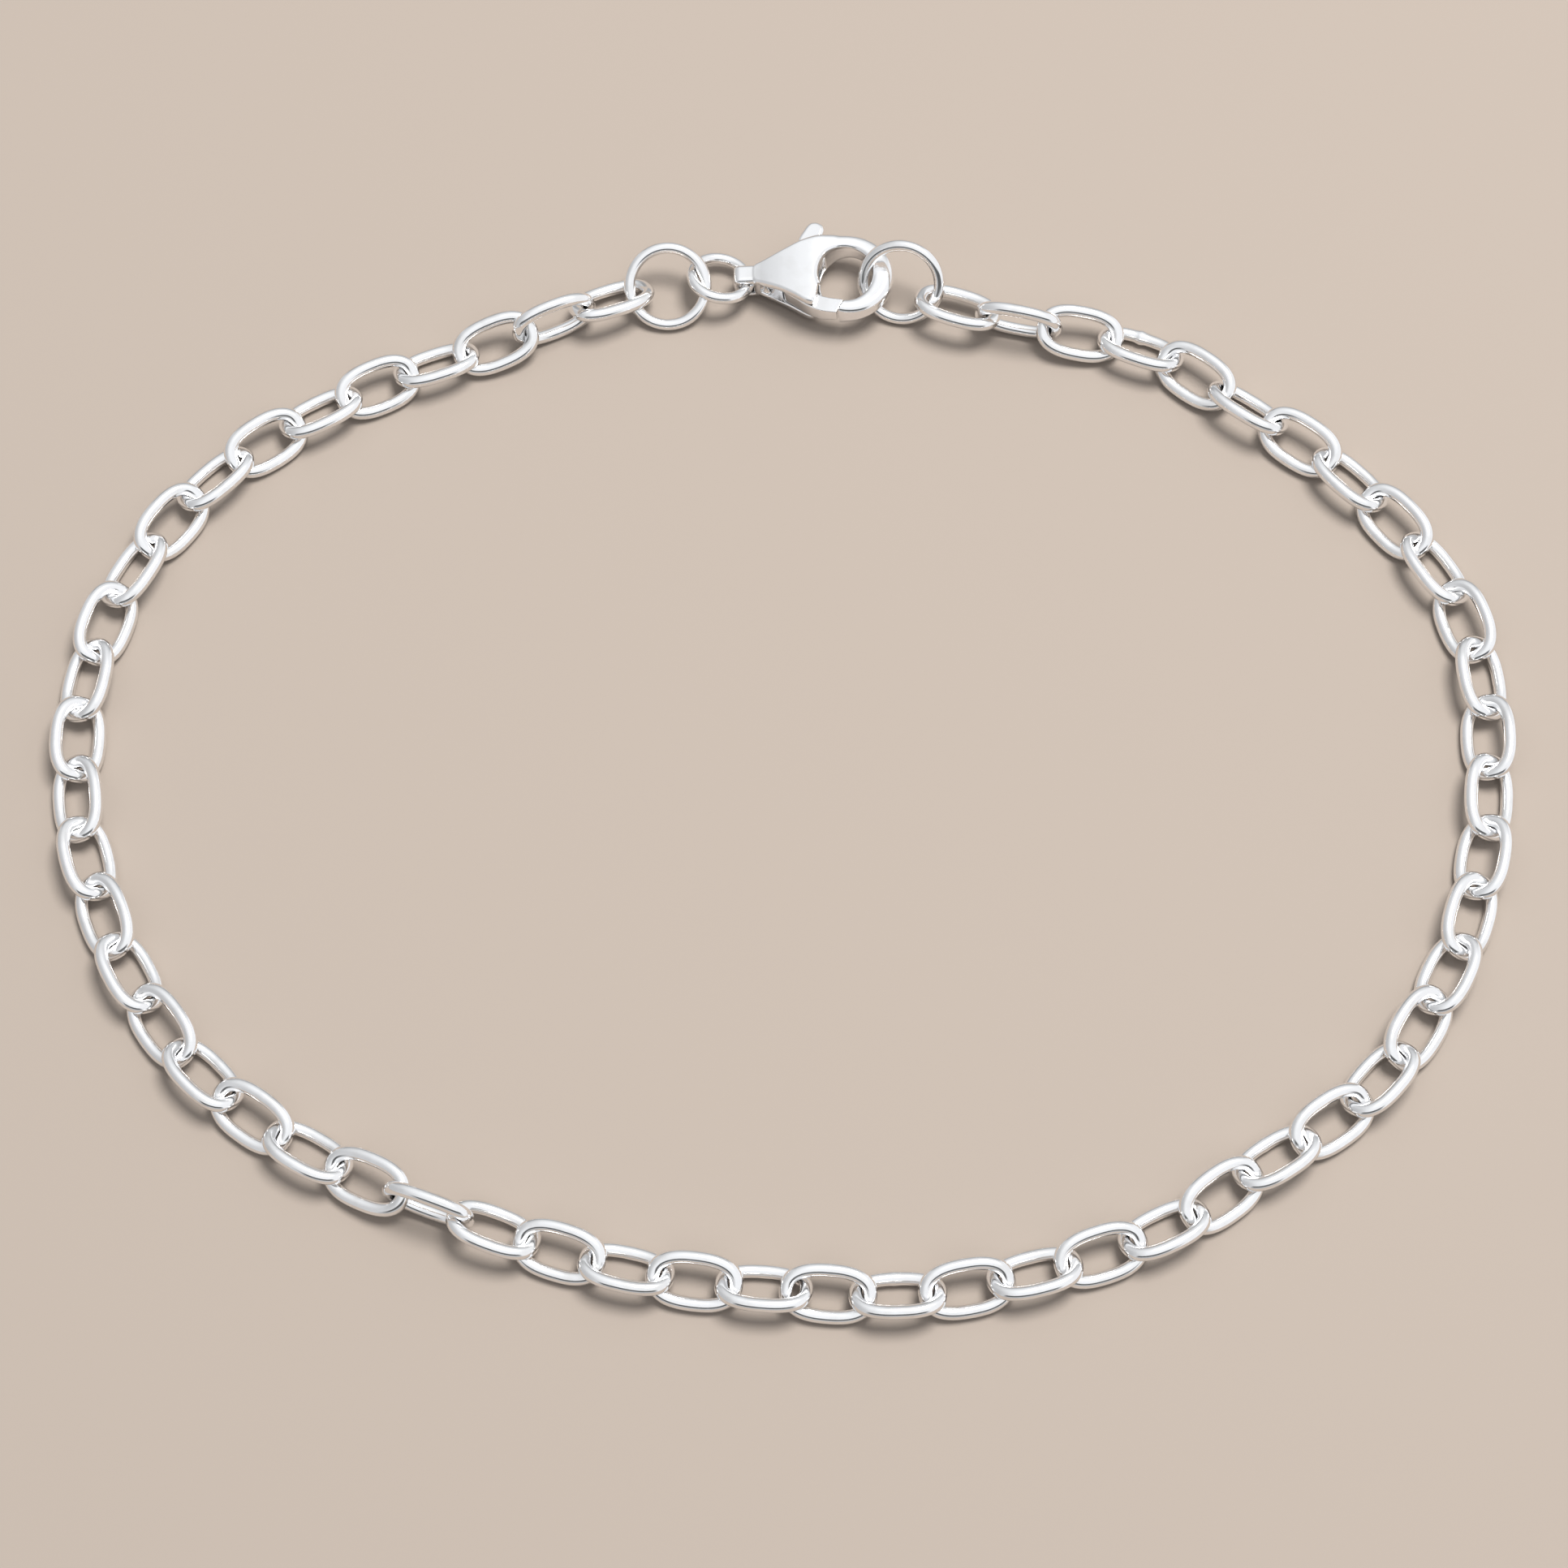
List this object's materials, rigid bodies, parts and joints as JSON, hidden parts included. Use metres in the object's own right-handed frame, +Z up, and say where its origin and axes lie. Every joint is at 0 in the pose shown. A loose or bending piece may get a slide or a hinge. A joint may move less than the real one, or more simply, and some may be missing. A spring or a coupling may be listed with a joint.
{
  "type": "chain bracelet",
  "caption": "Cable-chain bracelet of leaning oval links, joined by jump rings to a lobster clasp with a sprung lever, laid closed in an oval.",
  "frame": {"origin": "middle of the bracelet's extents, on the surface that it lies on", "axes": "+Z up from the surface, +Y towards the clasp, +X from the clasp's tail towards its hook, along the bracelet's longest extent"},
  "size_m": [0.069, 0.0564, 0.0035],
  "materials": {
    "silver": "polished"
  },
  "bodies": {
    "bracelet": {"chain_right": "silver", "chain_left": "silver", "jump_ring_right": "silver", "jump_ring_left": "silver", "tail_ring": "silver", "clasp_body": "silver", "clasp_pin": "silver"},
    "lever": {"clasp_lever": "silver"}
  },
  "joints": [
    {"name": "lever_hinge", "type": "hinge", "parent": "bracelet", "child": "lever", "pos_m": [0.00047, 0.02447, 0.00126], "axis": [-0.0802, 0, 0.9968], "range_deg": [0, 24], "stiffness_Nm_per_rad": 0.002, "springref_deg": -22.92}
  ]
}
